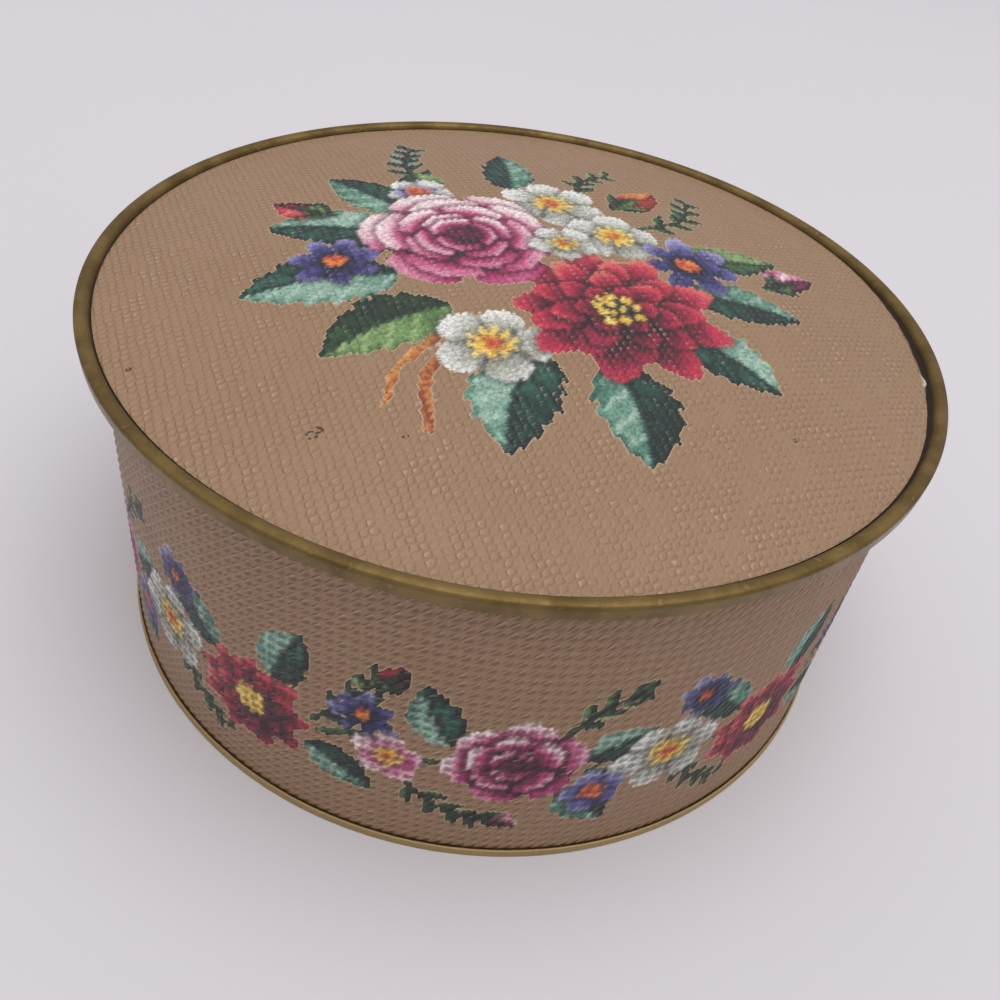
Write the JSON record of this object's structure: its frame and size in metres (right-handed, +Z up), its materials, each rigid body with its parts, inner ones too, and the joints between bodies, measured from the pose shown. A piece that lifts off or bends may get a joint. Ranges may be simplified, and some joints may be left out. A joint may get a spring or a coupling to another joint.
{
  "type": "sewing tin",
  "caption": "Round sewing tin of embossed tinplate with a flower print, a gold-lacquered base seam and a domed, gold-rimmed lid that lifts off.",
  "frame": {"origin": "centre of the face that the tin stands on", "axes": "+Z up along the tin's axis, -Y towards the front as pictured, the body's lap at the back in +Y"},
  "size_m": [0.1986, 0.1986, 0.0954],
  "materials": {
    "printed_tinplate": "satin print on embossed tinplate",
    "gold_lacquer": "satin gold lacquer on tinplate",
    "plain_tinplate": "pale lacquer on bright tinplate"
  },
  "bodies": {
    "tin": {"body_wall": "printed_tinplate", "base_pan": "gold_lacquer"},
    "lid": {"lid_ring": "gold_lacquer", "lid_panel": "printed_tinplate", "lid_pan": "plain_tinplate"}
  },
  "joints": [
    {"name": "lid_lift", "type": "slide", "parent": "tin", "child": "lid", "axis": [0, 0, 1], "range_m": [0, 0.1]}
  ]
}
